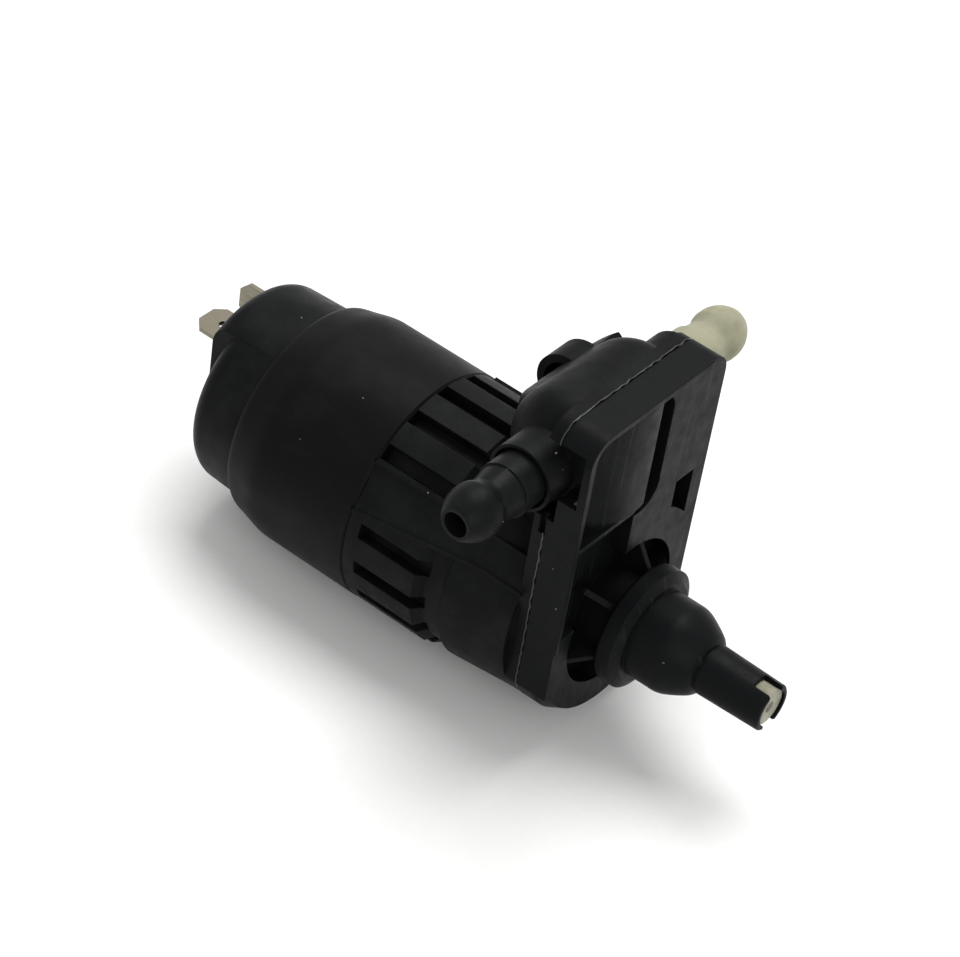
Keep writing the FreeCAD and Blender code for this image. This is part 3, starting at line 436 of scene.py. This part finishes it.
def plate_outline(step):
    """Points round the cover's edge and their outward directions, both in the plane across the motor axis."""
    low, high = node_box("front_cover")
    half, foot, top, corner = high.y, -low.z, high.z, sizes().plate_corner
    side_low = -math.sqrt(foot ** 2 - half ** 2)
    spread = math.asin(half / foot)

    def line(start, end, out):
        count = max(1, round((end - start).length / step))
        return [(start.lerp(end, k / count), out) for k in range(count)]

    def arc(centre, radius, first, last):
        count = max(1, round(abs(last - first) * radius / step))
        turns = [first + (last - first) * k / count for k in range(count)]
        outs = [Vector((math.cos(a), math.sin(a))) for a in turns]
        return [(centre + out * radius, out) for out in outs]

    quarter = math.pi / 2
    left, right, up = Vector((-1, 0)), Vector((1, 0)), Vector((0, 1))
    points = line(Vector((-half, side_low)), Vector((-half, top - corner)), left)
    points += arc(Vector((-half + corner, top - corner)), corner, 2 * quarter, quarter)
    points += line(Vector((-half + corner, top)), Vector((half - corner, top)), up)
    points += arc(Vector((half - corner, top - corner)), corner, quarter, 0)
    points += line(Vector((half, top - corner)), Vector((half, side_low)), right)
    points += arc(Vector((0, 0)), foot, -quarter + spread, -quarter - spread)
    return points


def new_piece(name, build, make_material):
    """A smooth mesh object on the pump's own body, filled by the build function."""
    work = bmesh.new()
    build(work)
    bmesh.ops.recalc_face_normals(work, faces=work.faces)
    for face in work.faces:
        face.smooth = True
    mesh = bpy.data.meshes.new(name)
    work.to_mesh(mesh)
    work.free()
    mesh.materials.append(make_material())
    piece = bpy.data.objects.new(name, mesh)
    bpy.context.collection.objects.link(piece)
    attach(piece, "pump")
    return piece


class WASHERPUMP_OT_weld_flash(bpy.types.Operator):
    """Raises the uneven bead of weld flash along the seam between housing and cover"""
    bl_idname = "washer_pump.weld_flash"
    bl_label = "Add the weld flash"

    def execute(self, context):
        new_piece("weld_flash", self.bead, melted_nylon)
        return {"FINISHED"}

    def on_seam(self, spot):
        """Whether both welded pieces reach this point, so that flash could have come out there."""
        for name in ("pump_housing", "front_cover"):
            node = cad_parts[name]
            inward = node.matrix_world.inverted() @ spot
            found, near, _, _ = node.closest_point_on_mesh(inward)
            if not found or (near - inward).length > sizes().flash_width:
                return False
        return True

    def bead(self, work):
        """Rings of points along the seam, joined wherever the flash goes on and closed where it ends."""
        size = sizes()
        seam_x = node_box("front_cover")[0].x
        sides = FLASH_SIDES
        rings = []
        for (y, z), out in plate_outline(size.flash_step):
            spot = Vector((seam_x, y, z))
            if not self.on_seam(spot):
                rings.append(None)
                continue
            swell = waves.noise(spot / size.flash_wave)
            drift = waves.noise(spot / size.flash_wave + Vector((7, 3, 1)))
            on_top = out.y > 0.9
            tall = on_top and abs(y - size.flash_middle) < size.flash_reach
            share = min(1.0, max(FLASH_LEAST, FLASH_MEAN + FLASH_SWING * swell))
            height = (size.flash_height if tall else size.flash_low) * share
            width = size.flash_width * (0.7 + 0.4 * drift)
            centre = spot + Vector((size.flash_width * 0.5 * drift, 0, 0))
            direction = Vector((0, *out))
            ring = []
            for k in range(sides):
                turn = 2 * math.pi * k / sides
                rise = math.sin(turn) * (height if k < sides / 2 else size.flash_width / 2)
                along = Vector((width / 2 * math.cos(turn), 0, 0))
                ring.append(work.verts.new(centre + along + direction * rise))
            rings.append(ring)
        for before, ring, after in zip(rings[-1:] + rings[:-1], rings, rings[1:] + rings[:1]):
            if ring is None:
                continue
            if before is None and after is None:
                bmesh.ops.delete(work, geom=ring, context="VERTS")
                continue
            if before is None or after is None:
                work.faces.new(ring)
            if after is not None:
                for k in range(sides):
                    work.faces.new((ring[k], ring[(k + 1) % sides], after[(k + 1) % sides], after[k]))


CRUMBS = (
    # piece, place in mm, width as a share of the largest crumb
    ("motor_sleeve", (-50.0, -8.2, 17.1), 0.8),
    ("motor_sleeve", (-54.7, -15.7, 10.7), 0.7),
    ("end_cap", (-68.8, -0.1, 16.3), 0.9),
    ("pump_housing", (-32.7, -13.7, 13.6), 0.8),
    ("pump_housing", (-13.0, -13.9, 33.8), 1.0),
    ("pump_housing", (-11.3, -14.1, 32.0), 0.6),
    ("black_outlet", (-15.7, -21.1, 33.4), 0.7),
    ("black_outlet", (-11.8, -26.1, 29.6), 0.6),
    ("front_cover", (-6.3, -15.0, 25.3), 0.8),
    ("front_cover", (-7.3, -15.7, 9.9), 1.0),
    ("front_cover", (-9.0, -15.7, 16.3), 0.7),
    ("front_cover", (5.9, -6.2, 2.4), 0.9),
    ("front_cover", (-6.3, 14.1, 38.3), 1.0),
)


class WASHERPUMP_OT_crumbs(bpy.types.Operator):
    """Strews the few loose crumbs of torn nylon that cling to the pump"""
    bl_idname = "washer_pump.crumbs"
    bl_label = "Add the crumbs"

    def execute(self, context):
        new_piece("crumbs", self.strew, torn_nylon)
        return {"FINISHED"}

    def strew(self, work):
        """Sets each crumb on the surface nearest to its listed place."""
        for name, place_mm, share in CRUMBS:
            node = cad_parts[name]
            inward = node.matrix_world.inverted()
            found, spot, normal, _ = node.closest_point_on_mesh(inward @ (Vector(place_mm) * MM))
            if not found:
                continue
            centre = node.matrix_world @ spot
            radius = sizes().crumb_size * share / 2
            crumb = bmesh.ops.create_icosphere(work, subdivisions=2, radius=radius)
            flat = normal.to_track_quat("Z", "Y").to_matrix() @ Matrix.Diagonal(CRUMB_FORM)
            for vertex in crumb["verts"]:
                ragged = 1 + CRUMB_RAGGED * waves.noise(vertex.co / radius * CRUMB_WAVES + centre / MM)
                vertex.co = centre + flat @ (vertex.co * ragged)


class WASHERPUMP_OT_stage(bpy.types.Operator):
    """Sets the pale floor, the soft lamps and the camera at the photograph's angle"""
    bl_idname = "washer_pump.stage"
    bl_label = "Set the stage"

    def execute(self, context):
        self.floor()
        self.world()
        self.lamps()
        self.camera()
        context.scene.view_settings.view_transform = "Standard"
        return {"FINISHED"}

    def floor(self):
        low = CAD_BOX[0][2] - 0.2 * MM
        mesh = bpy.data.meshes.new("floor")
        reach = FLOOR_REACH
        mesh.from_pydata([(-reach, -reach, low), (reach, -reach, low), (reach, reach, low), (-reach, reach, low)],
                         [], [(0, 1, 2, 3)])
        floor = bpy.data.objects.new("floor", mesh)
        bpy.context.collection.objects.link(floor)
        material, tree, shader = new_material("white paper floor")
        fibre = noise(tree, 1.2 * MM)
        tree.links.new(mixed(tree, fibre, linear("#F4F4F3"), linear("#EFEFEE")), shader.inputs["Base Color"])
        shader.inputs["Roughness"].default_value = 0.9
        floor.data.materials.append(material)

    def world(self):
        world = bpy.data.worlds.new("soft room")
        world.use_nodes = True
        tree = world.node_tree
        tree.nodes.clear()
        light = add_node(tree, "ShaderNodeBackground", {"Color": (1, 1, 1, 1), "Strength": 0.55})
        seen = add_node(tree, "ShaderNodeBackground", {"Color": (1, 1, 1, 1), "Strength": 1.0})
        path = add_node(tree, "ShaderNodeLightPath")
        straight = add_node(tree, "ShaderNodeMath", {0: path.outputs["Is Camera Ray"],
                                                     1: path.outputs["Is Glossy Ray"]}, operation="MAXIMUM")
        shows = add_node(tree, "ShaderNodeMath", {0: straight.outputs[0],
                                                  1: path.outputs["Is Transmission Ray"]}, operation="MAXIMUM")
        mix = add_node(tree, "ShaderNodeMixShader", {0: shows.outputs[0], 1: light.outputs[0],
                                                     2: seen.outputs[0]})
        add_node(tree, "ShaderNodeOutputWorld", {"Surface": mix.outputs[0]})
        bpy.context.scene.world = world

    def lamp(self, name, spot, size, watts):
        data = bpy.data.lights.new(name, "AREA")
        data.shape = "DISK"
        data.size = size
        data.energy = watts
        lamp = bpy.data.objects.new(name, data)
        lamp.location = spot
        aim = Vector((-30 * MM, 0, 0)) - Vector(spot)
        lamp.rotation_euler = aim.to_track_quat("-Z", "Y").to_euler()
        bpy.context.collection.objects.link(lamp)

    def lamps(self):
        self.lamp("key", (-0.10, 0.25, 0.75), 0.6, 6.0)
        self.lamp("fill", (0.55, -0.45, 0.35), 0.6, 2.0)

    def camera(self):
        look = bpy.context.scene.washer_pump_camera
        a, e, r = look.azimuth, look.elevation, look.roll
        back = Vector((math.sin(a) * math.cos(e), -math.cos(a) * math.cos(e), math.sin(e)))
        level = Vector((math.cos(a), math.sin(a), 0))
        rise = back.cross(level)
        right = level * math.cos(r) + rise * math.sin(r)
        up = rise * math.cos(r) - level * math.sin(r)
        data = bpy.data.cameras.new("camera")
        data.sensor_width = 36
        data.sensor_fit = "HORIZONTAL"
        data.lens = look.lens
        data.clip_start = 0.01
        camera = bpy.data.objects.new("camera", data)
        turn = Matrix((right, up, back)).transposed().to_4x4()
        camera.matrix_world = Matrix.Translation(Vector((look.aim_x, 0, look.aim_z)) + back * look.distance) @ turn
        bpy.context.collection.objects.link(camera)
        bpy.context.scene.camera = camera


class WASHERPUMP_PT_panel(bpy.types.Panel):
    bl_idname = "WASHERPUMP_PT_panel"
    bl_label = "Washer Pump"
    bl_space_type = "VIEW_3D"
    bl_region_type = "UI"
    bl_category = "Washer Pump"

    def draw(self, context):
        for operator in OPERATORS:
            self.layout.operator(operator.bl_idname)
        for group in (context.scene.washer_pump_colours, context.scene.washer_pump_sizes,
                      context.scene.washer_pump_camera):
            box = self.layout.box()
            for name in group.__annotations__:
                box.prop(group, name)


GROUPS = {
    "washer_pump_colours": WASHERPUMP_PG_colours,
    "washer_pump_sizes": WASHERPUMP_PG_sizes,
    "washer_pump_camera": WASHERPUMP_PG_camera,
}
OPERATORS = (WASHERPUMP_OT_finishes, WASHERPUMP_OT_weld_flash, WASHERPUMP_OT_crumbs, WASHERPUMP_OT_stage)


def register():
    for name, group in GROUPS.items():
        bpy.utils.register_class(group)
        setattr(bpy.types.Scene, name, bpy.props.PointerProperty(type=group))
    for operator in OPERATORS:
        bpy.utils.register_class(operator)
    bpy.utils.register_class(WASHERPUMP_PT_panel)


def unregister():
    bpy.utils.unregister_class(WASHERPUMP_PT_panel)
    for operator in reversed(OPERATORS):
        bpy.utils.unregister_class(operator)
    for name, group in GROUPS.items():
        delattr(bpy.types.Scene, name)
        bpy.utils.unregister_class(group)


def main():
    register()
    for operator in OPERATORS:
        group, name = operator.bl_idname.split(".")
        getattr(getattr(bpy.ops, group), name)()


if __name__ == "__main__":
    main()
